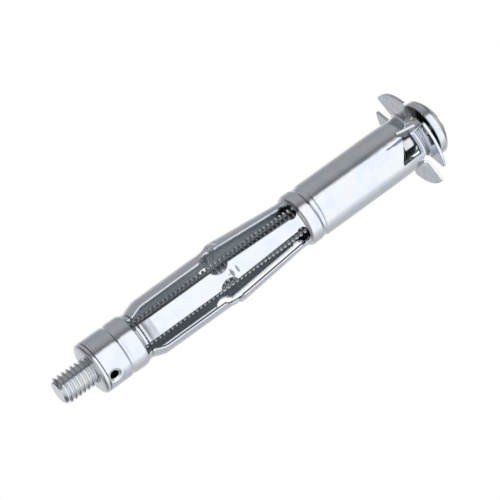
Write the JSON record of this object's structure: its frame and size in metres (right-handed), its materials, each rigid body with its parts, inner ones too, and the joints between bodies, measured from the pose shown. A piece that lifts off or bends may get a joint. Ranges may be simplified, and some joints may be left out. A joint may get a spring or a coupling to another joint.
{
  "type": "hollow-wall anchor",
  "caption": "Sheet-metal cavity anchor with folding legs, a flared collar with anti-turn barbs, a crimped-in nut and a pan-head machine screw.",
  "frame": {"origin": "on the anchor's axis, in the plane of the collar's wall side", "axes": "+X out of the wall toward the screw head; the nut end lies along -X; leg 1 points to +Z"},
  "size_m": [0.094, 0.0208, 0.0208],
  "materials": {
    "zinc_sheet": "bright zinc plate on pressed sheet",
    "nut_steel": "zinc plate, slightly duller",
    "screw_steel": "bright zinc plate"
  },
  "bodies": {
    "sleeve": {"sleeve_tube": "zinc_sheet", "petal_1": "zinc_sheet", "petal_2": "zinc_sheet", "petal_3": "zinc_sheet", "petal_4": "zinc_sheet", "barb_1": "zinc_sheet", "barb_2": "zinc_sheet"},
    "leg_1_head_link": {"leg_1_head": "zinc_sheet"},
    "leg_1_tail_link": {"leg_1_tail": "zinc_sheet"},
    "leg_2_head_link": {"leg_2_head": "zinc_sheet"},
    "leg_2_tail_link": {"leg_2_tail": "zinc_sheet"},
    "leg_3_head_link": {"leg_3_head": "zinc_sheet"},
    "leg_3_tail_link": {"leg_3_tail": "zinc_sheet"},
    "leg_4_head_link": {"leg_4_head": "zinc_sheet"},
    "leg_4_tail_link": {"leg_4_tail": "zinc_sheet"},
    "leg_5_head_link": {"leg_5_head": "zinc_sheet"},
    "leg_5_tail_link": {"leg_5_tail": "zinc_sheet"},
    "tail": {"tail_ring": "zinc_sheet", "nut": "nut_steel"},
    "bolt": {"screw": "screw_steel"}
  },
  "joints": [
    {"name": "leg_1_head_fold", "type": "hinge", "parent": "sleeve", "child": "leg_1_head_link", "pos_m": [-0.03, 0, 0.00465], "axis": [0, 1, 0], "range_deg": [-4, 77]},
    {"name": "leg_1_mid_fold", "type": "hinge", "parent": "leg_1_head_link", "child": "leg_1_tail_link", "pos_m": [-0.0489, 0, 0.0055], "axis": [0, 1, 0], "range_deg": [-154, 8]},
    {"name": "leg_2_head_fold", "type": "hinge", "parent": "sleeve", "child": "leg_2_head_link", "pos_m": [-0.03, -0.00442, 0.00144], "axis": [0, 0.309, 0.9511], "range_deg": [-4, 77]},
    {"name": "leg_2_mid_fold", "type": "hinge", "parent": "leg_2_head_link", "child": "leg_2_tail_link", "pos_m": [-0.0489, -0.00523, 0.0017], "axis": [0, 0.309, 0.9511], "range_deg": [-154, 8]},
    {"name": "leg_3_head_fold", "type": "hinge", "parent": "sleeve", "child": "leg_3_head_link", "pos_m": [-0.03, -0.00273, -0.00376], "axis": [0, -0.809, 0.5878], "range_deg": [-4, 77]},
    {"name": "leg_3_mid_fold", "type": "hinge", "parent": "leg_3_head_link", "child": "leg_3_tail_link", "pos_m": [-0.0489, -0.00323, -0.00445], "axis": [0, -0.809, 0.5878], "range_deg": [-154, 8]},
    {"name": "leg_4_head_fold", "type": "hinge", "parent": "sleeve", "child": "leg_4_head_link", "pos_m": [-0.03, 0.00273, -0.00376], "axis": [0, -0.809, -0.5878], "range_deg": [-4, 77]},
    {"name": "leg_4_mid_fold", "type": "hinge", "parent": "leg_4_head_link", "child": "leg_4_tail_link", "pos_m": [-0.0489, 0.00323, -0.00445], "axis": [0, -0.809, -0.5878], "range_deg": [-154, 8]},
    {"name": "leg_5_head_fold", "type": "hinge", "parent": "sleeve", "child": "leg_5_head_link", "pos_m": [-0.03, 0.00442, 0.00144], "axis": [0, 0.309, -0.9511], "range_deg": [-4, 77]},
    {"name": "leg_5_mid_fold", "type": "hinge", "parent": "leg_5_head_link", "child": "leg_5_tail_link", "pos_m": [-0.0489, 0.00523, 0.0017], "axis": [0, 0.309, -0.9511], "range_deg": [-154, 8]},
    {"name": "tail_pull", "type": "hinge", "parent": "leg_1_tail_link", "child": "tail", "pos_m": [-0.0678, 0, 0.00465], "axis": [0, 1, 0], "range_deg": [-4, 77]},
    {"name": "screw_turn", "type": "hinge", "parent": "sleeve", "child": "bolt", "pos_m": [0, 0, 0], "axis": [1, 0, 0], "continuous": true}
  ],
  "couplings": [
    {"joint": "leg_1_mid_fold", "follows": "leg_1_head_fold", "ratio": -2},
    {"joint": "leg_2_head_fold", "follows": "leg_1_head_fold", "ratio": 1},
    {"joint": "leg_2_mid_fold", "follows": "leg_1_head_fold", "ratio": -2},
    {"joint": "leg_3_head_fold", "follows": "leg_1_head_fold", "ratio": 1},
    {"joint": "leg_3_mid_fold", "follows": "leg_1_head_fold", "ratio": -2},
    {"joint": "leg_4_head_fold", "follows": "leg_1_head_fold", "ratio": 1},
    {"joint": "leg_4_mid_fold", "follows": "leg_1_head_fold", "ratio": -2},
    {"joint": "leg_5_head_fold", "follows": "leg_1_head_fold", "ratio": 1},
    {"joint": "leg_5_mid_fold", "follows": "leg_1_head_fold", "ratio": -2},
    {"joint": "tail_pull", "follows": "leg_1_head_fold", "ratio": 1}
  ]
}
